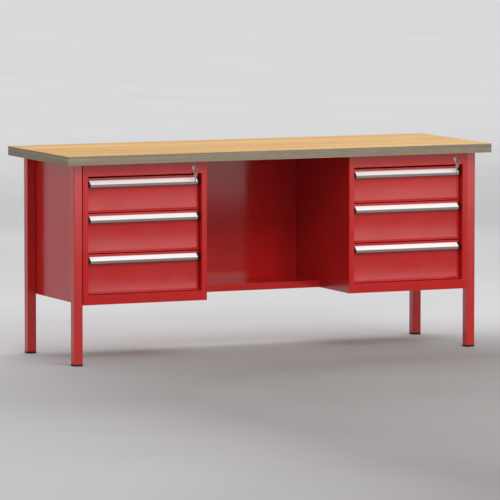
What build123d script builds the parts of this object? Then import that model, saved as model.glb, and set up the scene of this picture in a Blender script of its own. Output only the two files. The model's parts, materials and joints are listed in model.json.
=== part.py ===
"""Steel workbench with two three-drawer housings, a knee space and a beech worktop.

Millimetres, +X to the right, +Y to the back, +Z up.
The origin is on the floor, under the centre of the worktop.
"""
import os
from math import cos, radians, sin

from build123d import *

# ---- driving dimensions ----------------------------------------------------

# whole bench
BENCH_WIDTH = 2000.0
BENCH_DEPTH = 700.0
BENCH_HEIGHT = 900.0
TOP_THICKNESS = 40.0
TOP_EDGE_BREAK = 1.5
TOP_UNDERSIDE = BENCH_HEIGHT - TOP_THICKNESS

# legs: square steel tube on plastic foot caps
LEG_SIZE = 40.0
LEG_WALL = 2.0
LEG_CORNER = 3.0
LEG_OUTER_X = 950.0
LEG_OUTER_Y = 290.0
FOOT_HEIGHT = 8.0
FOOT_PLUG_LENGTH = 22.0
FOOT_PLUG_GAP = 0.3
NUT_BOSS_RADIUS = 7.0
NUT_BOSS_LENGTH = 8.0

# drawer housings: welded sheet steel, hung between the legs
SHEET = 2.0
HOUSING_OUTER_X = LEG_OUTER_X - LEG_SIZE
HOUSING_INNER_X = 337.0
HOUSING_WIDTH = HOUSING_OUTER_X - HOUSING_INNER_X
HOUSING_BOTTOM = 260.0
HOUSING_FRONT_Y = -296.0
HOUSING_BACK_Y = 288.0
TOP_FLANGE = 45.0

# front frame around the drawers
SIDE_STRIP = 23.5
BOTTOM_RAIL = 42.0
TOP_RAIL = 52.0
FRAME_RETURN = 32.0
OPENING_LOW = HOUSING_BOTTOM + BOTTOM_RAIL
OPENING_HIGH = TOP_UNDERSIDE - TOP_RAIL

# drawer fronts, bottom to top
FRONT_GAP = 4.0
FRONT_LOW = OPENING_LOW + 2.0
FRONT_HEIGHTS = (170.0, 170.0, 148.0)
FRONT_SIDE_GAP = 3.0
FRONT_RECESS = 28.0
FRONT_FACE_Y = HOUSING_FRONT_Y + FRONT_RECESS
FRONT_DEPTH = 20.0
FRONT_SHEET = 1.5
FRONT_BEND = 3.0
FRONT_LIP_REACH = 6.5
FRONT_LIP_HEIGHT = 9.0
FRONT_LIP_NOSE = 2.0
FRONT_DISH_RADIUS = 800.0
FRONT_BACK_Y = FRONT_FACE_Y + FRONT_DEPTH

# drawer boxes
BOX_SHEET = 1.5
BOX_LENGTH = 480.0
BOX_LIFT = 8.0
BOX_TOP_ROOM = 32.0
HEM_WIDTH = 3.0
HEM_HEIGHT = 8.0

# three-part telescopic slides
SLIDE_THICKNESS = 13.0
SLIDE_LENGTH = 480.0
SLIDE_FRONT_Y = -246.0
SLIDE_LIFT = 38.0
SLIDE_SHEET = 1.4
FIXED_HEIGHT = 45.0
FIXED_DEPTH = 11.2
MIDDLE_HEIGHT = 36.0
MIDDLE_BACK = 2.2
MIDDLE_DEPTH = 9.0
INNER_HEIGHT = 26.0
INNER_REACH = 7.5

# uprights in the housing that carry the slides
UPRIGHT_WIDTH = 30.0
UPRIGHT_FRONT_Y = -210.0
UPRIGHT_BACK_Y = 195.0

# aluminium handle strip on each drawer front
HANDLE_DROP = 11.5
HANDLE_HEIGHT = 27.5
HANDLE_REACH = 19.5
HANDLE_NOSE_DROP = 16.5
HANDLE_BROW_REACH = 10.1
HANDLE_BROW_DROP = 7.8
HANDLE_LIP_LEAN = 3.5
HANDLE_WALL = 2.0
HANDLE_ROOT = 2.1
HANDLE_FLANGE = 23.5
HANDLE_CAP = 12.5
CAP_PROUD = 0.6

# lock, key and locking bar
LOCK_FROM_EDGE = 59.0
LOCK_X = HOUSING_WIDTH - LOCK_FROM_EDGE
LOCK_Z = 831.0
LOCK_FLANGE_RADIUS = 10.0
LOCK_FLANGE = 3.0
LOCK_BODY_RADIUS = 9.5
LOCK_BODY_LENGTH = 28.0
LOCK_FACE_Y = HOUSING_FRONT_Y - LOCK_FLANGE
LOCK_END_Y = HOUSING_FRONT_Y + LOCK_BODY_LENGTH
LOCK_NUT_SIZE = 24.0
LOCK_NUT = 4.0
HOLE_GAP = 0.1
BARREL_RADIUS = 7.0
BARREL_GAP = 0.05
KEYWAY_HEIGHT = 7.4
KEYWAY_WIDTH = 2.3
KEYWAY_DEPTH = 20.0
CAM_THICKNESS = 3.0
CAM_GAP = 1.0
CAM_PIN_PAST = 2.0
CAM_RADIUS = 12.0
CAM_HALF_TURN = 45.0
CAM_PIN_RADIUS = 3.0
KEY_THICKNESS = 2.0
KEY_BLADE = 7.0
KEY_BLADE_LENGTH = 18.0
KEY_SHOULDER = 2.0
KEY_BOW_RADIUS = 9.5
KEY_BOW_SHIFT = 7.6
KEY_HOLE_RADIUS = 2.5
KEY_HOLE_SHIFT = 3.5
BAR_THICKNESS = 3.0
BAR_WIDTH = 20.0
BAR_FRONT_Y = -245.0
BAR_ARM_HEIGHT = 15.0
BAR_SLOT_LENGTH = 14.0
BAR_SLOT_HEIGHT = 2 * CAM_PIN_RADIUS + 1.2
BAR_LOW = OPENING_LOW + 18.0
BAR_X = 19.0
TAB_REACH = 15.0
TAB_DEPTH = 4.0
TAB_HEIGHT = 10.0
TAB_LIFT = 84.0
LUG_LIFT = 70.0
LUG_HEIGHT = 10.0
LUG_DEPTH = 8.0
LUG_REACH = 7.0
LUG_FRONT_Y = -232.0
GUIDE_EAR = 3.5
GUIDE_GAP = 0.5
GUIDE_HEIGHT = 12.0
GUIDE_ZS = (460.0, 640.0)

# rear panel and shelf between the housings
PANEL_FRONT_Y = 262.0
PANEL_FLANGE = 22.0
SHELF_TOP = 290.0
SHELF_FRONT_Y = 12.0
SHELF_LIP_RETURN = 15.0

# fasteners
BOLT_RADIUS = 4.0
BOLT_CLEARANCE = 0.3
BOLT_LENGTH = 14.0
BOLT_HEAD_FLATS = 13.0
BOLT_HEAD = 5.3
LEG_BOLT_ZS = (320.0, 560.0, 800.0)
PANEL_BOLT_ZS = (350.0, 575.0, 800.0)
SHELF_BOLT_YS = (60.0, 160.0)
SCREW_FRONT_INSET = 60.0
SCREW_RADIUS = 2.5
SCREW_GAP = 0.05
SCREW_DEPTH = 22.0
SCREW_HEAD_RADIUS = 6.0
SCREW_HEAD = 3.0
SCREW_INSET = 30.0

SIDES = {"left": -HOUSING_OUTER_X, "right": HOUSING_INNER_X}
LEVELS = ("bottom", "middle", "top")
FRONT_ZS = tuple(FRONT_LOW + sum(FRONT_HEIGHTS[:n]) + n * FRONT_GAP for n in range(3))
CUT_PAST = 1.0


# ---- small helpers ---------------------------------------------------------

def block(x0, x1, y0, y1, z0, z1):
    """A box between two corners."""
    solid = Box(x1 - x0, y1 - y0, z1 - z0, align=(Align.MIN,) * 3)
    return Pos(x0, y0, z0) * solid


def rod_y(x, z, y0, y1, radius):
    """A round rod along Y."""
    return Pos(x, (y0 + y1) / 2, z) * Rot(90, 0, 0) * Cylinder(radius, y1 - y0)


def rod_x(y, z, x0, x1, radius):
    """A round rod along X."""
    return Pos((x0 + x1) / 2, y, z) * Rot(0, 90, 0) * Cylinder(radius, abs(x1 - x0))


def rod_z(x, y, z0, z1, radius):
    """A round rod along Z."""
    return Pos(x, y, (z0 + z1) / 2) * Cylinder(radius, z1 - z0)


def square_post(size, corner, z0, z1):
    """An upright square bar with rounded corners, centred on the Z axis."""
    return Pos(0, 0, z0) * extrude(RectangleRounded(size, size, corner), z1 - z0)


def write(node, *solids):
    """Writes one node, as one solid or as a group of separate solids."""
    shape = solids[0] if len(solids) == 1 else Compound(children=list(solids))
    shape.label = node
    export_step(shape, f"parts/{node}.step")


# ---- worktop and legs ------------------------------------------------------

def screw_places():
    """Where the worktop screws stand: four at the corners of each housing's top flange."""
    for x0 in SIDES.values():
        for x in (x0 + SCREW_INSET, x0 + HOUSING_WIDTH - SCREW_INSET):
            for y in (HOUSING_FRONT_Y + SCREW_FRONT_INSET, HOUSING_BACK_Y - SCREW_INSET):
                yield x, y


def worktop():
    half_w, half_d = BENCH_WIDTH / 2, BENCH_DEPTH / 2
    board = block(-half_w, half_w, -half_d, half_d, TOP_UNDERSIDE, BENCH_HEIGHT)
    board = chamfer(board.edges(), TOP_EDGE_BREAK)
    for x, y in screw_places():
        board -= rod_z(x, y, TOP_UNDERSIDE, TOP_UNDERSIDE + SCREW_DEPTH + CUT_PAST, SCREW_RADIUS + SCREW_GAP)
    return board


def worktop_screws():
    screws = []
    for x, y in screw_places():
        under = TOP_UNDERSIDE - SHEET
        head = rod_z(x, y, under - SCREW_HEAD, under, SCREW_HEAD_RADIUS)
        head = fillet(head.edges().group_by(Axis.Z)[0], SCREW_HEAD / 2)
        screws.append(head + rod_z(x, y, under, TOP_UNDERSIDE + SCREW_DEPTH, SCREW_RADIUS))
    return screws


def leg_centres():
    """Name and centre of each leg."""
    reach_x = LEG_OUTER_X - LEG_SIZE / 2
    reach_y = LEG_OUTER_Y - LEG_SIZE / 2
    for row, y in (("front", -reach_y), ("rear", reach_y)):
        for side, x in (("left", -reach_x), ("right", reach_x)):
            yield f"leg_{row}_{side}", x, y


def leg(x, y):
    """A square tube with welded nut bosses behind its inner wall."""
    inner = LEG_SIZE - 2 * LEG_WALL
    tube = square_post(LEG_SIZE, LEG_CORNER, FOOT_HEIGHT, TOP_UNDERSIDE)
    tube -= square_post(inner, LEG_CORNER - LEG_WALL, FOOT_HEIGHT, TOP_UNDERSIDE)
    towards = -1 if x > 0 else 1
    wall_x = towards * LEG_SIZE / 2
    boss_end = wall_x - towards * (LEG_WALL + NUT_BOSS_LENGTH)
    for z in LEG_BOLT_ZS:
        tube += rod_x(0, z, wall_x - towards * LEG_WALL / 2, boss_end, NUT_BOSS_RADIUS)
        tube -= rod_x(0, z, wall_x + towards * CUT_PAST, boss_end - towards * CUT_PAST, BOLT_RADIUS + HOLE_GAP)
    return Pos(x, y, 0) * tube


def foot_cap(x, y):
    plug = LEG_SIZE - 2 * LEG_WALL - 2 * FOOT_PLUG_GAP
    cap = square_post(LEG_SIZE, LEG_CORNER, 0, FOOT_HEIGHT)
    cap += square_post(plug, LEG_CORNER - LEG_WALL, FOOT_HEIGHT, FOOT_HEIGHT + FOOT_PLUG_LENGTH)
    return Pos(x, y, 0) * cap


# ---- housings --------------------------------------------------------------

def bolt_hole_x(y, z, x):
    """The cutter for a bolt hole through a sheet that faces X."""
    return rod_x(y, z, x - 2 * SHEET, x + 2 * SHEET, BOLT_RADIUS + BOLT_CLEARANCE)


def bolts_through_outer_side():
    """Y and Z of the bolts that join a housing to its two legs."""
    reach_y = LEG_OUTER_Y - LEG_SIZE / 2
    return [(y, z) for y in (-reach_y, reach_y) for z in LEG_BOLT_ZS]


def bolts_through_inner_side():
    """Y and Z of the bolts that join a housing to the rear panel and the shelf."""
    panel_y = PANEL_FRONT_Y + PANEL_FLANGE / 2
    shelf_z = (HOUSING_BOTTOM + SHELF_TOP) / 2
    return [(panel_y, z) for z in PANEL_BOLT_ZS] + [(y, shelf_z) for y in SHELF_BOLT_YS]


def slide_uprights():
    """Four hollow-section posts that hold the fixed slide members, two on each side."""
    low, high = HOUSING_BOTTOM + SHEET, TOP_UNDERSIDE - SHEET
    posts = []
    for x0, x1 in ((SHEET, SIDE_STRIP), (HOUSING_WIDTH - SIDE_STRIP, HOUSING_WIDTH - SHEET)):
        for y in (UPRIGHT_FRONT_Y, UPRIGHT_BACK_Y):
            posts.append(block(x0, x1, y, y + UPRIGHT_WIDTH, low, high))
    return posts


def bar_guide(z):
    """A clip on the right side wall that keeps the locking bar upright."""
    wall = HOUSING_WIDTH - SHEET
    bar_x0 = HOUSING_WIDTH - BAR_X - BAR_THICKNESS / 2
    base_x = bar_x0 + BAR_THICKNESS + GUIDE_GAP
    y0 = BAR_FRONT_Y - GUIDE_GAP
    y1 = BAR_FRONT_Y + BAR_WIDTH + GUIDE_GAP
    clip = block(base_x, wall, y0 - GUIDE_EAR, y1 + GUIDE_EAR, z, z + GUIDE_HEIGHT)
    for ear_y in (y0 - GUIDE_EAR, y1):
        clip += block(bar_x0, base_x, ear_y, ear_y + GUIDE_EAR, z, z + GUIDE_HEIGHT)
    return clip


def housing_shell(side):
    """The welded shell of one housing, open at the front, with its uprights and guides."""
    front = HOUSING_FRONT_Y + SHEET
    shell = block(0, HOUSING_WIDTH, front, HOUSING_BACK_Y, HOUSING_BOTTOM, TOP_UNDERSIDE)
    shell -= block(SHEET, HOUSING_WIDTH - SHEET, front, HOUSING_BACK_Y - SHEET,
                   HOUSING_BOTTOM + SHEET, TOP_UNDERSIDE - SHEET)
    shell -= block(TOP_FLANGE, HOUSING_WIDTH - TOP_FLANGE, front + 2 * TOP_FLANGE,
                   HOUSING_BACK_Y - TOP_FLANGE, TOP_UNDERSIDE - SHEET, TOP_UNDERSIDE)
    for post in slide_uprights():
        shell += post
    for z in GUIDE_ZS:
        shell += bar_guide(z)
    outer_x, inner_x = (0, HOUSING_WIDTH) if side == "left" else (HOUSING_WIDTH, 0)
    for y, z in bolts_through_outer_side():
        shell -= bolt_hole_x(y, z, outer_x)
    for y, z in bolts_through_inner_side():
        shell -= bolt_hole_x(y, z, inner_x)
    for x, y in screw_places():
        shell -= rod_z(x - SIDES[side], y, TOP_UNDERSIDE - SHEET - CUT_PAST, TOP_UNDERSIDE + CUT_PAST,
                       SCREW_RADIUS + BOLT_CLEARANCE)
    return shell


def front_frame():
    """The folded frame around the drawers, with the lock's hole in its top rail."""
    y0 = HOUSING_FRONT_Y
    y1 = y0 + SHEET
    x0, x1 = SIDE_STRIP, HOUSING_WIDTH - SIDE_STRIP
    frame = block(0, HOUSING_WIDTH, y0, y1, HOUSING_BOTTOM, TOP_UNDERSIDE)
    frame += block(x0 - SHEET, x1 + SHEET, y0, y1 + FRAME_RETURN, OPENING_LOW - SHEET, OPENING_HIGH + SHEET)
    frame -= block(x0, x1, y0 - CUT_PAST, y1 + FRAME_RETURN + CUT_PAST, OPENING_LOW, OPENING_HIGH)
    outline = frame.edges().filter_by(Axis.X).group_by(Axis.Y)[0].group_by(Axis.Z)
    sides = frame.edges().filter_by(Axis.Z).group_by(Axis.Y)[0].group_by(Axis.X)
    frame = fillet(outline[0] + sides[0] + sides[-1], SHEET / 2)
    frame -= rod_y(LOCK_X, LOCK_Z, y0 - CUT_PAST, y1 + CUT_PAST, LOCK_BODY_RADIUS + HOLE_GAP)
    return frame


# ---- telescopic slides -----------------------------------------------------

def channel(x_web, x_tip, height, z, length=SLIDE_LENGTH):
    """A C-section member along Y: its web at x_web, its lips reaching to x_tip."""
    way = 1 if x_tip > x_web else -1
    web_x = sorted((x_web, x_web + way * SLIDE_SHEET))
    lip_x = sorted((x_web, x_tip))
    y0, y1 = SLIDE_FRONT_Y, SLIDE_FRONT_Y + length
    low, high = z - height / 2, z + height / 2
    member = block(*web_x, y0, y1, low, high)
    member += block(*lip_x, y0, y1, low, low + SLIDE_SHEET)
    member += block(*lip_x, y0, y1, high - SLIDE_SHEET, high)
    return member


def slide_sides():
    """Mounting plane of the slides on each side, and the direction towards the drawer."""
    return ((SIDE_STRIP, 1), (HOUSING_WIDTH - SIDE_STRIP, -1))


def slide_z(level):
    return FRONT_ZS[level] + BOX_LIFT + SLIDE_LIFT


def fixed_members():
    members = []
    for level in range(3):
        for x, way in slide_sides():
            members.append(channel(x, x + way * FIXED_DEPTH, FIXED_HEIGHT, slide_z(level)))
    return members


def middle_members(level):
    members = []
    for x, way in slide_sides():
        web = x + way * MIDDLE_BACK
        members.append(channel(web, web + way * MIDDLE_DEPTH, MIDDLE_HEIGHT, slide_z(level)))
    return members


def drawer_members(level):
    members = []
    for x, way in slide_sides():
        web = x + way * SLIDE_THICKNESS
        members.append(channel(web, web - way * INNER_REACH, INNER_HEIGHT, slide_z(level)))
    return members


# ---- drawers ---------------------------------------------------------------

def drawer_front(level):
    """A folded pan, open at the back, with a slightly dished face and a lip that stands out along its foot."""
    x0, x1 = SIDE_STRIP + FRONT_SIDE_GAP, HOUSING_WIDTH - SIDE_STRIP - FRONT_SIDE_GAP
    z0 = FRONT_ZS[level]
    z1 = z0 + FRONT_HEIGHTS[level]
    pan = block(x0, x1, FRONT_FACE_Y, FRONT_BACK_Y, z0, z1)
    bent = pan.edges().group_by(Axis.Y)[0].sort_by(Axis.Z)[1:]
    pan = fillet(bent, FRONT_BEND)
    hollow = block(x0 + FRONT_SHEET, x1 - FRONT_SHEET, FRONT_FACE_Y + FRONT_SHEET, FRONT_BACK_Y,
                   z0 + FRONT_SHEET, z1 - FRONT_SHEET)
    hollow = fillet(hollow.edges().group_by(Axis.Y)[0], FRONT_BEND - FRONT_SHEET)
    dish = along_x(front_dish(z0, z1), x0 - CUT_PAST, x1 + CUT_PAST)
    hollow -= Pos(0, FRONT_SHEET, 0) * dish
    return pan - dish - hollow + along_x(front_lip(z0), x0, x1)


def front_dish(z0, z1):
    """The shallow (Y, Z) segment by which a front's face is hollowed between its handle and its lip."""
    low = z0 + FRONT_LIP_HEIGHT
    high = z1 - HANDLE_DROP - HANDLE_HEIGHT
    depth = (high - low) ** 2 / (8 * FRONT_DISH_RADIUS)
    ends = ((FRONT_FACE_Y, low), (FRONT_FACE_Y, high))
    arc = ThreePointArc(ends[0], (FRONT_FACE_Y + depth, (low + high) / 2), ends[1])
    return make_face(Curve() + [arc, Line(ends[1], ends[0])])


def front_lip(z0):
    """The (Y, Z) section of the lip along the foot of a drawer front."""
    lip_y = FRONT_FACE_Y - FRONT_LIP_REACH
    fold = (FRONT_FACE_Y, z0 + FRONT_LIP_HEIGHT)
    nose = (lip_y, z0 + FRONT_LIP_NOSE)
    return make_face(Polyline((FRONT_FACE_Y, z0), fold, nose, (lip_y, z0), close=True))


def drawer_box(level):
    """A folded tray behind the front, with hemmed side walls."""
    x0 = SIDE_STRIP + SLIDE_THICKNESS
    x1 = HOUSING_WIDTH - SIDE_STRIP - SLIDE_THICKNESS
    y0, y1 = FRONT_BACK_Y, FRONT_BACK_Y + BOX_LENGTH
    z0 = FRONT_ZS[level] + BOX_LIFT
    z1 = FRONT_ZS[level] + FRONT_HEIGHTS[level] - BOX_TOP_ROOM
    tray = block(x0, x1, y0, y1, z0, z1)
    tray -= block(x0 + BOX_SHEET, x1 - BOX_SHEET, y0 + BOX_SHEET, y1 - BOX_SHEET, z0 + BOX_SHEET, z1)
    for hem_x in (x0, x1 - HEM_WIDTH):
        tray += block(hem_x, hem_x + HEM_WIDTH, y0, y1, z1 - HEM_HEIGHT, z1)
    return tray


def lug(level):
    """The block on the drawer box's right wall that the locking bar's tab stops."""
    x = HOUSING_WIDTH - SIDE_STRIP - SLIDE_THICKNESS
    z = FRONT_ZS[level] + BOX_LIFT + LUG_LIFT
    return block(x, x + LUG_REACH, LUG_FRONT_Y, LUG_FRONT_Y + LUG_DEPTH, z, z + LUG_HEIGHT)


def handle_outline(proud=0.0):
    """Four (Y, Z) points of the handle's outer line: top edge, brow of the slope, nose and lip."""
    nose_y = FRONT_FACE_Y - HANDLE_REACH - proud
    brow_y = FRONT_FACE_Y - HANDLE_BROW_REACH - proud / 2
    return ((FRONT_FACE_Y, proud), (brow_y, -HANDLE_BROW_DROP + proud / 2), (nose_y, -HANDLE_NOSE_DROP),
            (nose_y + HANDLE_LIP_LEAN, -HANDLE_HEIGHT - proud))


def handle_z(level):
    """Height of the handle's top edge."""
    return FRONT_ZS[level] + FRONT_HEIGHTS[level] - HANDLE_DROP


def along_x(face, x0, x1):
    """Extrudes a (Y, Z) face from x0 to x1."""
    return Pos(x0, 0, 0) * extrude(Plane.YZ * face, x1 - x0)


def handle_section():
    """The open hook section of the handle strip, at height zero."""
    start, brow, nose, lip = handle_outline()
    wall = HANDLE_WALL
    inner_start = (start[0] - wall, start[1] - HANDLE_ROOT * wall)
    inner_brow = (brow[0] + 0.7 * wall, brow[1] - 0.7 * wall)
    inner_nose = (nose[0] + wall, nose[1] - wall / 2)
    inner_lip = (lip[0] + wall, lip[1])
    flange_foot = (start[0] - wall, start[1] - HANDLE_FLANGE)
    outline = Curve() + [
        ThreePointArc(start, brow, nose),
        Line(nose, lip),
        Line(lip, inner_lip),
        Line(inner_lip, inner_nose),
        ThreePointArc(inner_nose, inner_brow, inner_start),
        Line(inner_start, flange_foot),
        Line(flange_foot, (start[0], flange_foot[1])),
        Line((start[0], flange_foot[1]), start),
    ]
    return make_face(outline)


def cap_section():
    """The closed outline of a handle end cap, at height zero."""
    start, brow, nose, lip = handle_outline(CAP_PROUD)
    foot = (start[0], lip[1] + 2 * HANDLE_WALL)
    return make_face(Curve() + [
        ThreePointArc(start, brow, nose),
        Line(nose, lip),
        Line(lip, (lip[0] + 2 * HANDLE_WALL, lip[1])),
        Line((lip[0] + 2 * HANDLE_WALL, lip[1]), foot),
        Line(foot, start),
    ])


def handle(level):
    x0 = SIDE_STRIP + FRONT_SIDE_GAP + HANDLE_CAP
    return Pos(0, 0, handle_z(level)) * along_x(handle_section(), x0, HOUSING_WIDTH - x0)


def handle_caps(level):
    end = SIDE_STRIP + FRONT_SIDE_GAP
    section = cap_section()
    spans = ((end, end + HANDLE_CAP), (HOUSING_WIDTH - end - HANDLE_CAP, HOUSING_WIDTH - end))
    return [Pos(0, 0, handle_z(level)) * along_x(section, *span) for span in spans]


# ---- lock ------------------------------------------------------------------

def lock_body():
    """The fixed cylinder housing with its front flange, and the nut that clamps it."""
    flange = rod_y(LOCK_X, LOCK_Z, LOCK_FACE_Y, HOUSING_FRONT_Y, LOCK_FLANGE_RADIUS)
    flange = fillet(flange.edges().group_by(Axis.Y)[0], LOCK_FLANGE / 3)
    body = flange + rod_y(LOCK_X, LOCK_Z, HOUSING_FRONT_Y, LOCK_END_Y, LOCK_BODY_RADIUS)
    bore = BARREL_RADIUS + BARREL_GAP
    body -= rod_y(LOCK_X, LOCK_Z, LOCK_FACE_Y - CUT_PAST, LOCK_END_Y + CUT_PAST, bore)
    nut_y = HOUSING_FRONT_Y + SHEET
    nut = extrude(RegularPolygon(LOCK_NUT_SIZE / 2, 6, major_radius=False), LOCK_NUT)
    nut = Pos(LOCK_X, nut_y + LOCK_NUT, LOCK_Z) * Rot(90, 0, 0) * nut
    nut -= rod_y(LOCK_X, LOCK_Z, nut_y - CUT_PAST, nut_y + LOCK_NUT + CUT_PAST, LOCK_BODY_RADIUS + HOLE_GAP)
    return body, nut


def lock_barrel():
    """The turning barrel: keyway in front, cam with its pin behind."""
    barrel = rod_y(LOCK_X, LOCK_Z, LOCK_FACE_Y, LOCK_END_Y, BARREL_RADIUS)
    barrel -= block(LOCK_X - KEYWAY_WIDTH / 2, LOCK_X + KEYWAY_WIDTH / 2, LOCK_FACE_Y - CUT_PAST,
                    LOCK_FACE_Y + KEYWAY_DEPTH, LOCK_Z - KEYWAY_HEIGHT / 2, LOCK_Z + KEYWAY_HEIGHT / 2)
    cam_y0 = LOCK_END_Y + CAM_GAP
    cam_y1 = cam_y0 + CAM_THICKNESS
    pin_x = LOCK_X + CAM_RADIUS * cos(radians(CAM_HALF_TURN))
    pin_z = LOCK_Z + CAM_RADIUS * sin(radians(CAM_HALF_TURN))
    barrel += rod_y(LOCK_X, LOCK_Z, LOCK_END_Y, cam_y1, BARREL_RADIUS)
    arm = Box(CAM_RADIUS, CAM_THICKNESS, 2 * BARREL_RADIUS, align=(Align.MIN, Align.MIN, Align.CENTER))
    barrel += Pos(LOCK_X, cam_y0, LOCK_Z) * Rot(0, -CAM_HALF_TURN, 0) * arm
    barrel += rod_y(pin_x, pin_z, cam_y0, cam_y1, BARREL_RADIUS)
    barrel += rod_y(pin_x, pin_z, cam_y1, BAR_FRONT_Y + BAR_THICKNESS + CAM_PIN_PAST, CAM_PIN_RADIUS)
    return barrel


def key():
    """A flat key standing in the lock, its bow upright."""
    half = KEY_THICKNESS / 2
    bow_y = LOCK_FACE_Y - KEY_SHOULDER - KEY_BOW_SHIFT
    blade = block(LOCK_X - half, LOCK_X + half, bow_y, LOCK_FACE_Y + KEY_BLADE_LENGTH,
                  LOCK_Z - KEY_BLADE / 2, LOCK_Z + KEY_BLADE / 2)
    bow = rod_x(bow_y, LOCK_Z, LOCK_X - half, LOCK_X + half, KEY_BOW_RADIUS)
    hole_y = bow_y - KEY_HOLE_SHIFT
    hole = rod_x(hole_y, LOCK_Z, LOCK_X - KEY_THICKNESS, LOCK_X + KEY_THICKNESS, KEY_HOLE_RADIUS)
    return blade + bow - hole


def locking_bar():
    """The bar that drops a tab in front of each drawer's lug, with the slotted arm for the cam's pin."""
    x0 = HOUSING_WIDTH - BAR_X - BAR_THICKNESS / 2
    x1 = x0 + BAR_THICKNESS
    y0 = BAR_FRONT_Y
    pin_z = LOCK_Z + CAM_RADIUS * sin(radians(CAM_HALF_TURN))
    slot_x = LOCK_X + CAM_RADIUS * (1 + cos(radians(CAM_HALF_TURN))) / 2
    arm_low, arm_high = pin_z - BAR_ARM_HEIGHT / 2, pin_z + BAR_ARM_HEIGHT / 2
    bar = block(x0, x1, y0, y0 + BAR_WIDTH, BAR_LOW, arm_high)
    bar += block(slot_x - BAR_SLOT_LENGTH, x1, y0, y0 + BAR_THICKNESS, arm_low, arm_high)
    bar -= block(slot_x - BAR_SLOT_LENGTH / 2, slot_x + BAR_SLOT_LENGTH / 2, y0 - CUT_PAST,
                 y0 + BAR_THICKNESS + CUT_PAST, pin_z - BAR_SLOT_HEIGHT / 2, pin_z + BAR_SLOT_HEIGHT / 2)
    for front_z in FRONT_ZS:
        tab_z = front_z + BOX_LIFT + TAB_LIFT
        tab_y = y0 + TAB_DEPTH
        bar += block(x1 - TAB_REACH - BAR_THICKNESS, x1, tab_y, tab_y + TAB_DEPTH, tab_z, tab_z + TAB_HEIGHT)
    return bar


# ---- rear panel, shelf and bolts -------------------------------------------

def rear_panel():
    """A folded panel with flanges that point backwards on all four sides."""
    x = HOUSING_INNER_X
    y0, y1 = PANEL_FRONT_Y, PANEL_FRONT_Y + PANEL_FLANGE
    panel = block(-x, x, y0, y1, HOUSING_BOTTOM, TOP_UNDERSIDE)
    panel -= block(-x + SHEET, x - SHEET, y0 + SHEET, y1, HOUSING_BOTTOM + SHEET, TOP_UNDERSIDE - SHEET)
    for z in PANEL_BOLT_ZS:
        for side_x in (-x, x):
            panel -= bolt_hole_x(y0 + PANEL_FLANGE / 2, z, side_x)
    return panel


def shelf():
    """A folded shelf with a deep front lip, turned under, and end and rear flanges."""
    x = HOUSING_INNER_X
    y0, y1 = SHELF_FRONT_Y, PANEL_FRONT_Y
    plate = block(-x, x, y0, y1, HOUSING_BOTTOM, SHELF_TOP)
    plate = fillet(plate.edges().filter_by(Axis.X).group_by(Axis.Y)[0], SHEET / 2)
    plate -= block(-x + SHEET, x - SHEET, y0 + SHEET, y1 - SHEET, HOUSING_BOTTOM + SHEET, SHELF_TOP - SHEET)
    plate -= block(-x + SHEET, x - SHEET, y0 + SHELF_LIP_RETURN, y1 - SHEET,
                   HOUSING_BOTTOM, HOUSING_BOTTOM + SHEET)
    for y in SHELF_BOLT_YS:
        for side_x in (-x, x):
            plate -= bolt_hole_x(y, (HOUSING_BOTTOM + SHELF_TOP) / 2, side_x)
    return plate


def bolt(x_head, way, y, z):
    """A hex bolt along X: its head lies against x_head, its shank points along way."""
    hexagon = extrude(RegularPolygon(BOLT_HEAD_FLATS / 2, 6, major_radius=False), BOLT_HEAD)
    head = Pos(x_head, y, z) * Rot(0, -90 * way, 0) * hexagon
    return head + rod_x(y, z, x_head, x_head + way * BOLT_LENGTH, BOLT_RADIUS)


def frame_bolts():
    """All the bolts, put in from inside the housings."""
    bolts = []
    for way in (-1, 1):
        outer_face = way * (HOUSING_OUTER_X - SHEET)
        inner_face = way * (HOUSING_INNER_X + SHEET)
        bolts += [bolt(outer_face, way, y, z) for y, z in bolts_through_outer_side()]
        bolts += [bolt(inner_face, -way, y, z) for y, z in bolts_through_inner_side()]
    return bolts


# ---- the whole bench -------------------------------------------------------

def write_housing(side, x):
    """Writes the nodes of one housing, its lock and its three drawers."""
    place = Pos(x, 0, 0)
    write(f"housing_{side}", place * housing_shell(side))
    write(f"front_frame_{side}", place * front_frame())
    write(f"fixed_slides_{side}", *[place * s for s in fixed_members()])
    write(f"lock_body_{side}", *[place * s for s in lock_body()])
    write(f"lock_barrel_{side}", place * lock_barrel())
    write(f"key_{side}", place * key())
    write(f"locking_bar_{side}", place * locking_bar())
    for level, word in enumerate(LEVELS):
        name = f"{side}_{word}"
        write(f"drawer_box_{name}", place * drawer_box(level), place * lug(level))
        write(f"drawer_front_{name}", place * drawer_front(level))
        write(f"handle_{name}", place * handle(level))
        write(f"handle_caps_{name}", *[place * s for s in handle_caps(level)])
        write(f"drawer_slides_{name}", *[place * s for s in drawer_members(level)])
        write(f"middle_slides_{name}", *[place * s for s in middle_members(level)])


def main():
    os.makedirs("parts", exist_ok=True)
    write("worktop", worktop())
    write("worktop_screws", *worktop_screws())
    for name, x, y in leg_centres():
        write(name, leg(x, y))
    write("foot_caps", *[foot_cap(x, y) for _, x, y in leg_centres()])
    for side, x in SIDES.items():
        write_housing(side, x)
    write("rear_panel", rear_panel())
    write("shelf", shelf())
    write("frame_bolts", *frame_bolts())


main()
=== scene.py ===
import json
import math

import bmesh
import bpy
from mathutils import Matrix, Vector


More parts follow.
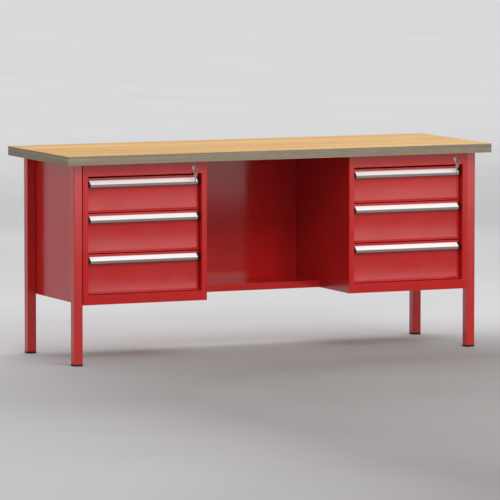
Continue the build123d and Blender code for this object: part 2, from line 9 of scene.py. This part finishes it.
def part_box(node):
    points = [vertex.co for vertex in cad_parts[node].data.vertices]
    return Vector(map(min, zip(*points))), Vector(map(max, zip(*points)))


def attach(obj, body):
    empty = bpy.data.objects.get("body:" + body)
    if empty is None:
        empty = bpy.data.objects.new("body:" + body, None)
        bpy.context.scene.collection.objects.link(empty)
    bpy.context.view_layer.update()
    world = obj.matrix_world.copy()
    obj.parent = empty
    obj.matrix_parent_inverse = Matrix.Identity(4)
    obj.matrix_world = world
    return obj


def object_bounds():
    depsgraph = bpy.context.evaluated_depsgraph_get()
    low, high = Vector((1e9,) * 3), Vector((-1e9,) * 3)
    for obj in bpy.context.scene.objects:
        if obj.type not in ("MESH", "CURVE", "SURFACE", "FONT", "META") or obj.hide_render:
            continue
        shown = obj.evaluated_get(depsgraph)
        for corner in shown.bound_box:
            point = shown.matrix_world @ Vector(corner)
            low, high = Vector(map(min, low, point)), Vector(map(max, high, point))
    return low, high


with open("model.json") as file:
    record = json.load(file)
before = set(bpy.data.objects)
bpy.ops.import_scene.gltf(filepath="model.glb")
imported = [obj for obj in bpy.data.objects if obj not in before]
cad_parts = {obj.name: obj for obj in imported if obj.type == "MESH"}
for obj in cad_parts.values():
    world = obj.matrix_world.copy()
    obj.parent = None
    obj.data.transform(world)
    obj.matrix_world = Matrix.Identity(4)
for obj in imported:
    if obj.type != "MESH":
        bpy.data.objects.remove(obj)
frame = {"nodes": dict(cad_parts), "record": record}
cad_box = [list(corner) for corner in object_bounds()]
low, high = (Vector(corner) for corner in cad_box)
nodes = frame["nodes"]
record = frame["record"]
scene = bpy.context.scene
MM = 0.001


# ---- material helpers ------------------------------------------------------

class Tree:
    """A material's node tree, with short calls for the nodes used here."""

    def __init__(self, name):
        self.material = bpy.data.materials.new(name)
        self.material.use_nodes = True
        self.nodes = self.material.node_tree.nodes
        self.links = self.material.node_tree.links
        self.shader = self.nodes["Principled BSDF"]
        self.coords = self.nodes.new("ShaderNodeTexCoord")

    def feed(self, socket, value):
        """Links a socket to a node's output, or sets its value."""
        if isinstance(value, bpy.types.NodeSocket):
            self.links.new(value, socket)
        else:
            socket.default_value = value

    def node(self, kind, inputs=(), **settings):
        new = self.nodes.new(kind)
        for key, value in settings.items():
            setattr(new, key, value)
        for key, value in dict(inputs).items():
            self.feed(new.inputs[key], value)
        return new

    def place(self, scale, offset=(0, 0, 0)):
        """Object coordinates, scaled, in pattern periods per metre."""
        mapping = self.node("ShaderNodeMapping", {"Vector": self.coords.outputs["Object"],
                                                  "Scale": scale, "Location": offset})
        return mapping.outputs["Vector"]

    def noise(self, scale, detail=3.0, roughness=0.55, distortion=0.0, offset=(0, 0, 0)):
        scale = (scale,) * 3 if isinstance(scale, (int, float)) else scale
        found = self.node("ShaderNodeTexNoise",
                          {"Vector": self.place(scale, offset), "Scale": 1.0, "Detail": detail,
                           "Roughness": roughness, "Distortion": distortion})
        return found.outputs["Fac"]

    def voronoi(self, scale, feature="F1", output="Distance", randomness=1.0):
        scale = (scale,) * 3 if isinstance(scale, (int, float)) else scale
        found = self.node("ShaderNodeTexVoronoi",
                          {"Vector": self.place(scale), "Scale": 1.0, "Randomness": randomness},
                          feature=feature)
        return found.outputs[output]

    def ramp(self, factor, *stops):
        """A colour ramp over (position, colour) stops."""
        found = self.node("ShaderNodeValToRGB", {"Fac": factor})
        elements = found.color_ramp.elements
        while len(elements) < len(stops):
            elements.new(0.5)
        for element, (position, colour) in zip(elements, stops):
            element.position = position
            element.color = (*colour, 1.0)
        return found.outputs["Color"]

    def span(self, factor, from_low, from_high, to_low, to_high):
        found = self.node("ShaderNodeMapRange",
                          {"Value": factor, "From Min": from_low, "From Max": from_high,
                           "To Min": to_low, "To Max": to_high})
        return found.outputs["Result"]

    def ease(self, value, start, end):
        """A smooth rise from 0 at start to 1 at end."""
        found = self.node("ShaderNodeMapRange", {"Value": value, "From Min": start, "From Max": end},
                          interpolation_type="SMOOTHSTEP")
        return found.outputs["Result"]

    def maths(self, operation, first, second=0.0):
        found = self.nodes.new("ShaderNodeMath")
        found.operation = operation
        self.feed(found.inputs[0], first)
        self.feed(found.inputs[1], second)
        return found.outputs["Value"]

    def mix(self, factor, first, second, blend="MIX"):
        found = self.nodes.new("ShaderNodeMix")
        found.data_type = "RGBA"
        found.blend_type = blend
        self.feed(found.inputs["Factor"], factor)
        self.feed(found.inputs[6], first)
        self.feed(found.inputs[7], second)
        return found.outputs[2]

    def bump(self, height, strength, distance, under=None):
        found = self.node("ShaderNodeBump", {"Height": height, "Strength": strength, "Distance": distance})
        if under is not None:
            self.feed(found.inputs["Normal"], under)
        return found.outputs["Normal"]

    def finish(self, **inputs):
        for key, value in inputs.items():
            self.feed(self.shader.inputs[key.replace("_", " ")], value)
        return self.material


# ---- materials -------------------------------------------------------------

def powder_coat(name, dark, light, rough_low, rough_high, gloss=1.5):
    """A glossy baked coat: slight cloudiness, and the fine waves that such a coat dries with."""
    tree = Tree(name)
    cloud = tree.noise(5.0, detail=4.0)
    colour = tree.ramp(cloud, (0.3, dark), (0.7, light))
    waves = tree.noise(260.0, detail=2.0, roughness=0.5)
    grain = tree.noise(1400.0, detail=1.0)
    rough = tree.span(tree.noise(14.0, detail=5.0, offset=(3, 1, 7)), 0.3, 0.7, rough_low, rough_high)
    normal = tree.bump(grain, 0.05, 0.1 * MM, under=tree.bump(waves, 0.12, 0.35 * MM))
    return tree.finish(Base_Color=colour, Roughness=rough, Normal=normal, IOR=gloss)


def beech():
    """Oiled beech: the grain runs along X on the faces, and the plies' edges streak the sides."""
    tree = Tree("beech")
    board = tree.noise((0.6, 9.0, 1.0), detail=2.0, roughness=0.4)
    grain = tree.noise((2.2, 70.0, 30.0), detail=6.0, roughness=0.62, distortion=0.35)
    fleck = tree.noise((60.0, 900.0, 300.0), detail=2.0, roughness=0.6)
    face = tree.ramp(board, (0.30, (0.50, 0.262, 0.076)), (0.52, (0.56, 0.322, 0.104)),
                     (0.72, (0.62, 0.400, 0.150)))
    streak = tree.ramp(grain, (0.36, (0.80, 0.74, 0.66)), (0.50, (1.0, 1.0, 1.0)), (0.68, (1.06, 1.08, 1.1)))
    face = tree.mix(0.85, face, streak, "MULTIPLY")
    dash = tree.ramp(fleck, (0.32, (0.74, 0.68, 0.60)), (0.40, (1.0, 1.0, 1.0)))
    face = tree.mix(0.6, face, dash, "MULTIPLY")
    plies = tree.noise((0.5, 0.5, 330.0), detail=2.0, roughness=0.7)
    ply = tree.ramp(plies, (0.36, (0.180, 0.145, 0.102)), (0.47, (0.270, 0.235, 0.178)),
                    (0.56, (0.220, 0.186, 0.138)), (0.66, (0.335, 0.300, 0.235)))
    ends = tree.noise((24.0, 24.0, 420.0), detail=4.0, roughness=0.6)
    ends = tree.ramp(ends, (0.35, (0.76, 0.74, 0.70)), (0.6, (1.08, 1.07, 1.06)))
    ply = tree.mix(0.8, ply, ends, "MULTIPLY")
    normal = tree.node("ShaderNodeSeparateXYZ", {"Vector": tree.coords.outputs["Normal"]})
    flat = tree.maths("ABSOLUTE", normal.outputs["Z"])
    flat = tree.span(flat, 0.55, 0.80, 0.0, 1.0)
    colour = tree.mix(flat, ply, face)
    height = tree.mix(flat, plies, tree.mix(0.5, grain, fleck))
    rough = tree.span(grain, 0.3, 0.7, 0.58, 0.72)
    return tree.finish(Base_Color=colour, Roughness=rough, Normal=tree.bump(height, 0.25, 0.3 * MM), IOR=1.25)


def aluminium():
    """Brushed anodised strip, with painted light: the slope that faces up and forward is painted a white
    highlight, barely metallic, and the faces that look level or down are painted a darker, greyer metallic
    shade.
    """
    tree = Tree("aluminium")
    brush = tree.noise((6.0, 1600.0, 1600.0), detail=3.0, roughness=0.6)
    cloud = tree.noise((3.0, 40.0, 40.0), detail=2.0)
    painted_highlight_band = tree.ramp(brush, (0.3, (0.94, 0.95, 0.94)), (0.7, (0.99, 0.99, 0.98)))
    painted_shade_colour = tree.ramp(brush, (0.3, (0.50, 0.51, 0.50)), (0.7, (0.62, 0.63, 0.62)))
    rough = tree.maths("ADD", tree.span(brush, 0.3, 0.7, 0.26, 0.36), tree.span(cloud, 0.3, 0.7, 0.0, 0.06))
    # Painted light by facing: upward faces get the white painted highlight, level and downward faces the
    # darker painted shade.
    facing = tree.node("ShaderNodeSeparateXYZ", {"Vector": tree.coords.outputs["Normal"]}).outputs["Z"]
    painted_shade_mask = tree.span(facing, 0.35, 0.50, 1.0, 0.05)
    colour = tree.mix(painted_shade_mask, painted_highlight_band, painted_shade_colour)
    normal = tree.bump(brush, 0.10, 0.05 * MM)
    return tree.finish(Base_Color=colour, Metallic=painted_shade_mask, Roughness=rough, Normal=normal)


def black_plastic():
    """Moulded plastic with a fine spark-eroded grain."""
    tree = Tree("black_plastic")
    grain = tree.noise(1500.0, detail=2.0)
    cloud = tree.noise(40.0, detail=3.0)
    colour = tree.ramp(cloud, (0.3, (0.003, 0.003, 0.0035)), (0.7, (0.007, 0.0065, 0.0065)))
    rough = tree.span(grain, 0.3, 0.7, 0.50, 0.65)
    return tree.finish(Base_Color=colour, Roughness=rough, Normal=tree.bump(grain, 0.2, 0.08 * MM), IOR=1.33)


def zinc_steel():
    """Zinc-plated steel: pale spangle cells with a faint warm and blue cast."""
    tree = Tree("zinc_steel")
    cells = tree.voronoi(160.0, output="Color")
    tone = tree.node("ShaderNodeSeparateColor", {"Color": cells}).outputs["Red"]
    colour = tree.ramp(tone, (0.0, (0.50, 0.52, 0.55)), (0.5, (0.62, 0.63, 0.64)), (1.0, (0.72, 0.71, 0.67)))
    scuff = tree.noise((30.0, 8.0, 300.0), detail=5.0, roughness=0.65)
    rough = tree.span(scuff, 0.3, 0.7, 0.26, 0.45)
    normal = tree.bump(scuff, 0.12, 0.08 * MM)
    return tree.finish(Base_Color=colour, Metallic=1.0, Roughness=rough, Normal=normal)


def nickel(name, dark, light, rough_low=0.20, rough_high=0.34):
    """Nickel plating with fine handling scratches."""
    tree = Tree(name)
    scratch = tree.noise((500.0, 500.0, 2200.0), detail=3.0, roughness=0.7)
    cloud = tree.noise(90.0, detail=3.0)
    colour = tree.ramp(cloud, (0.3, dark), (0.7, light))
    rough = tree.span(scratch, 0.3, 0.7, rough_low, rough_high)
    normal = tree.bump(scratch, 0.04, 0.02 * MM)
    return tree.finish(Base_Color=colour, Metallic=1.0, Roughness=rough, Normal=normal)


def floor_material():
    """A studio floor, painted with light and shade: pale round the bench, paler still well behind it as
    painted light, and darker and greyer in front of it as painted shade, less so to the left.
    """
    tree = Tree("floor")
    cloud = tree.noise(0.8, detail=3.0)
    near = tree.ramp(cloud, (0.3, (0.60, 0.60, 0.605)), (0.7, (0.63, 0.63, 0.635)))
    far = tree.ramp(cloud, (0.3, (0.90, 0.90, 0.905)), (0.7, (0.93, 0.93, 0.935)))
    painted_shade_floor_grey = tree.ramp(cloud, (0.3, (0.25, 0.235, 0.23)), (0.7, (0.28, 0.265, 0.26)))
    at = tree.node("ShaderNodeSeparateXYZ", {"Vector": tree.coords.outputs["Object"]}).outputs
    # Painted light: the floor turns paler well behind the bench.
    pale = tree.mix(tree.ease(at["Y"], 3.0, 14.0), near, far)
    # Painted shade: the floor turns darker and greyer in front of the bench, less so to the left.
    front = tree.maths("SUBTRACT", 1.0, tree.ease(at["Y"], -1.5, 1.1))
    painted_shade_sweep = tree.maths("MULTIPLY", front, tree.ease(at["Y"], -16.0, -7.0))
    painted_shade_sweep = tree.maths("MULTIPLY", painted_shade_sweep, tree.maths("ADD", 0.35, tree.ease(at["X"], -3.0, 0.4)))
    colour = tree.mix(painted_shade_sweep, pale, painted_shade_floor_grey)
    rough = tree.span(cloud, 0.3, 0.7, 0.75, 0.85)
    return tree.finish(Base_Color=colour, Roughness=rough, IOR=1.2)


RED = ((0.43, 0.0100, 0.0095), (0.48, 0.0125, 0.0115))
MATERIALS = {
    "red_paint": powder_coat("red_paint", *RED, 0.14, 0.24),
    "grey_paint": powder_coat("grey_paint", (0.55, 0.56, 0.56), (0.61, 0.62, 0.615), 0.28, 0.40),
    "beech": beech(),
    "aluminium": aluminium(),
    "black_plastic": black_plastic(),
    "zinc_steel": zinc_steel(),
    "nickel": nickel("nickel", (0.80, 0.80, 0.78), (0.92, 0.92, 0.90)),
}
# Finishes that differ a little from their slot's own, by the start of the pieces' names.
VARIANTS = {
    "rear_panel": powder_coat("red_paint_panel", *RED, 0.08, 0.12, gloss=1.42),
    "shelf": powder_coat("red_paint_shelf", *RED, 0.06, 0.10, gloss=1.4),
    "front_frame_": powder_coat("red_paint_frame", *RED, 0.14, 0.24, gloss=1.37),
    "leg_": powder_coat("red_paint_leg", *RED, 0.14, 0.24, gloss=1.6),
    "lock_": nickel("nickel_satin", (0.88, 0.89, 0.87), (0.96, 0.97, 0.95), 0.42, 0.55),
    "key_ring_": nickel("nickel_worn", (0.46, 0.47, 0.43), (0.58, 0.59, 0.55)),
    "key_": nickel("nickel_dark", (0.16, 0.17, 0.16), (0.25, 0.26, 0.24)),
}
VARIANTS["spare_key_"] = VARIANTS["key_ring_"]
SLOT_OF = {row["node"]: row["material_slot"] for row in record["subparts"]}


def dress(piece, name, slot):
    """Gives a piece its slot's material, or its own variant of it."""
    piece.data.materials.clear()
    variant = next((v for start, v in VARIANTS.items() if name.startswith(start)), None)
    piece.data.materials.append(variant or MATERIALS[slot])


# ---- CAD nodes -------------------------------------------------------------

# Widths of the broken edges, by the start of the pieces' names.
BEVELS = {"worktop": 1.2 * MM, "handle_caps_": 0.8 * MM, "foot_caps": 0.8 * MM, "drawer_box_": 0.4 * MM,
          "locking_bar_": 0.4 * MM, "lock_": 0.3 * MM, "key_": 0.3 * MM}

for name, piece in nodes.items():
    dress(piece, name, SLOT_OF[name])
    width = next((w for start, w in BEVELS.items() if name.startswith(start)), 0.0)
    weld = piece.modifiers.new("weld", "WELD")
    weld.merge_threshold = 0.01 * MM
    if width:
        bevel = piece.modifiers.new("edge", "BEVEL")
        bevel.width = width
        bevel.segments = 2
        bevel.limit_method = "ANGLE"
        bevel.angle_limit = math.radians(40)
        bevel.harden_normals = True
    shade = piece.modifiers.new("shade", "WEIGHTED_NORMAL")
    shade.mode = "FACE_AREA"
    shade.weight = 100
    shade.keep_sharp = True


# ---- rings and spare keys --------------------------------------------------

RING_RADIUS = 9.0 * MM
RING_WIRE = 0.5 * MM  # radius
RING_TURNS = 1.2
RING_ALONG = Vector((0.8, -0.6, 0))  # the level line in the ring's plane
RING_INSET = 6.0 * MM  # from the front of the key in the lock to the ring
RING_DROP = 1.65 * MM  # from the lock's axis to the top of the ring
KEY_SHEET = 1.8 * MM
KEY_HOLE = (3.9 * MM, 2.5 * MM)  # half width and half height
KEY_HOLE_STEPS = 24
KEY_LEAN = math.radians(11)
KEY_EDGE = 0.3 * MM
BOW_HALF = (8.0, 9.2)  # half width and half height of the key's bow, in mm
BOW_DROP = 5.6  # from the hole to the middle of the bow, in mm
BOW_ARC = (-64, 308)  # where the bow's arc starts and how far it turns, in degrees
BOW_STEPS = 24


def mesh_object(name, mesh_maker, slot, body):
    """Makes a dressed piece that rides on a body; mesh_maker fills its bmesh."""
    mesh = bpy.data.meshes.new(name)
    work = bmesh.new()
    mesh_maker(work)
    bmesh.ops.recalc_face_normals(work, faces=work.faces)
    work.to_mesh(mesh)
    work.free()
    piece = bpy.data.objects.new(name, mesh)
    scene.collection.objects.link(piece)
    dress(piece, name, slot)
    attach(piece, body)
    return piece


def split_ring(work, top):
    """Winds a sprung ring past itself at one side, once through its top and bottom; gives its bottom point."""
    up = Vector((0, 0, 1))
    across = up.cross(RING_ALONG)
    pitch = 2.05 * RING_WIRE
    first_turn = (1 - RING_TURNS) / 2
    steps, sides = int(72 * RING_TURNS), 10
    loops = []
    for step in range(steps + 1):
        turned = first_turn + RING_TURNS * step / steps
        angle = 2 * math.pi * turned
        out = math.cos(angle) * RING_ALONG + math.sin(angle) * up
        centre = top - RING_RADIUS * up + RING_RADIUS * out + (turned - 0.25) * pitch * across
        loop = []
        for side in range(sides):
            turn = 2 * math.pi * side / sides
            loop.append(work.verts.new(centre + RING_WIRE * (math.cos(turn) * out + math.sin(turn) * across)))
        loops.append(loop)
    for first, second in zip(loops, loops[1:]):
        for side in range(sides):
            following = (side + 1) % sides
            work.faces.new((first[side], first[following], second[following], second[side]))
    work.faces.new(loops[0])
    work.faces.new(loops[-1])
    return top - 2 * RING_RADIUS * up + 0.5 * pitch * across


def key_outline():
    """The flat key's outline in (x, z), in mm: its hole at the origin, its tip down."""
    points = []
    for step in range(BOW_STEPS + 1):
        angle = math.radians(BOW_ARC[0] + step * (BOW_ARC[1] / BOW_STEPS))
        points.append((BOW_HALF[0] * math.cos(angle), BOW_HALF[1] * math.sin(angle) - BOW_DROP))
    left = [(-3.0, -15.5), (-3.0, -16.5)]
    cuts = [(-2.0, -17.5), (-2.0, -19.5), (-3.0, -21.0), (-3.0, -22.5), (-1.6, -24.2), (-1.6, -25.8),
            (-3.0, -27.2), (-2.3, -29.0), (-2.3, -30.5), (-3.0, -31.8), (-3.0, -34.5)]
    tip = [(-1.2, -38.0), (0.6, -39.0), (3.0, -36.2)]
    right = [(3.0, -16.5), (3.0, -15.5)]
    return points + left + cuts + tip + right


def spare_key(work, hole_centre):
    """A flat cut key hanging from its hole, facing the front."""
    outline = [(x * MM, z * MM) for x, z in key_outline()]
    hole = [(KEY_HOLE[0] * math.cos(a), KEY_HOLE[1] * math.sin(a))
            for a in (2 * math.pi * step / KEY_HOLE_STEPS for step in range(KEY_HOLE_STEPS))]
    outer = [work.verts.new((x, -KEY_SHEET / 2, z)) for x, z in outline]
    inner = [work.verts.new((x, -KEY_SHEET / 2, z)) for x, z in hole]
    edges = [work.edges.new((loop[i], loop[(i + 1) % len(loop)])) for loop in (outer, inner)
             for i in range(len(loop))]
    filled = bmesh.ops.triangle_fill(work, use_beauty=True, use_dissolve=False, edges=edges)
    faces = [f for f in filled["geom"] if isinstance(f, bmesh.types.BMFace)]
    grown = bmesh.ops.extrude_face_region(work, geom=faces)
    moved = [v for v in grown["geom"] if isinstance(v, bmesh.types.BMVert)]
    bmesh.ops.translate(work, verts=moved, vec=(0, KEY_SHEET, 0))
    bmesh.ops.rotate(work, verts=work.verts, cent=(0, 0, 0), matrix=Matrix.Rotation(KEY_LEAN, 3, "X"))
    bmesh.ops.translate(work, verts=work.verts, vec=hole_centre)


for side in ("left", "right"):
    key_low, key_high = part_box(f"key_{side}")
    axis_x = (key_low.x + key_high.x) / 2
    axis_z = (key_low.z + key_high.z) / 2
    ring_top = Vector((axis_x, key_low.y + RING_INSET, axis_z - RING_DROP))
    foot = []
    ring = mesh_object(f"key_ring_{side}",
                       lambda work: foot.append(split_ring(work, ring_top)),
                       "nickel", "bench")
    ring.data.polygons.foreach_set("use_smooth", [True] * len(ring.data.polygons))
    hole_centre = foot[0] - Vector((0, 0, KEY_HOLE[1] - 1.2 * RING_WIRE))
    key = mesh_object(f"spare_key_{side}", lambda work: spare_key(work, hole_centre), "nickel", "bench")
    key_edge = key.modifiers.new("edge", "BEVEL")
    key_edge.width = KEY_EDGE
    key_edge.segments = 2
    key_edge.limit_method = "ANGLE"
    key_edge.angle_limit = math.radians(50)


# ---- floor -----------------------------------------------------------------

FLOOR_HALF = 90.0
floor_mesh = bpy.data.meshes.new("floor")
floor_mesh.from_pydata([(-FLOOR_HALF, -FLOOR_HALF, 0), (FLOOR_HALF, -FLOOR_HALF, 0),
                        (FLOOR_HALF, FLOOR_HALF, 0), (-FLOOR_HALF, FLOOR_HALF, 0)], [], [(0, 1, 2, 3)])
floor = bpy.data.objects.new("floor", floor_mesh)
floor.location.z = low.z - 0.3 * MM
scene.collection.objects.link(floor)
floor_mesh.materials.append(floor_material())


# ---- light -----------------------------------------------------------------

def area_light(name, position, target, size, power, size_y):
    data = bpy.data.lights.new(name, "AREA")
    data.shape = "RECTANGLE"
    data.size = size
    data.size_y = size_y
    data.energy = power
    light = bpy.data.objects.new(name, data)
    light.location = position
    light.rotation_euler = (Vector(target) - Vector(position)).to_track_quat("-Z", "Y").to_euler()
    scene.collection.objects.link(light)
    return light


middle = (low + high) / 2
area_light("overhead", (0.3, 1.4, 4.2), (0.0, 0.2, 0.8), 4.5, 55.0, size_y=2.0)
area_light("front_high", (-0.2, -4.5, 3.9), middle, 3.4, 128.0, size_y=1.6)
area_light("front_softbox", (1.75, -4.0, 1.33), (1.75, 0.0, 1.33), 3.2, 34.0, size_y=2.14)
area_light("rear_softbox", (2.6, 5.6, 1.75), (0.0, 0.0, 0.9), 2.6, 17.0, size_y=1.3).visible_camera = False

world = bpy.data.worlds.new("studio")
scene.world = world
world.use_nodes = True
sky = world.node_tree.nodes["Background"]
sky.inputs["Color"].default_value = (0.95, 0.95, 0.96, 1)
sky.inputs["Strength"].default_value = 0.80


# ---- camera ----------------------------------------------------------------

LENS = 357.24
YAW = math.radians(23.954)
PITCH = math.radians(5.297)
DISTANCE = 21.7056
AIM_SHIFT = Vector((-0.0034, 0.0003, -0.0120))
AIM = Vector((0, 0, middle.z)) + AIM_SHIFT

camera_data = bpy.data.cameras.new("camera")
camera_data.lens = LENS
camera_data.sensor_width = 36.0
camera_data.clip_start = 0.1
camera_data.clip_end = 400.0
camera = bpy.data.objects.new("camera", camera_data)
forward = Vector((math.sin(YAW) * math.cos(PITCH), math.cos(YAW) * math.cos(PITCH), -math.sin(PITCH)))
camera.location = AIM - DISTANCE * forward
camera.rotation_euler = (math.pi / 2 - PITCH, 0, -YAW)
scene.collection.objects.link(camera)
scene.camera = camera
scene.view_settings.view_transform = "Standard"
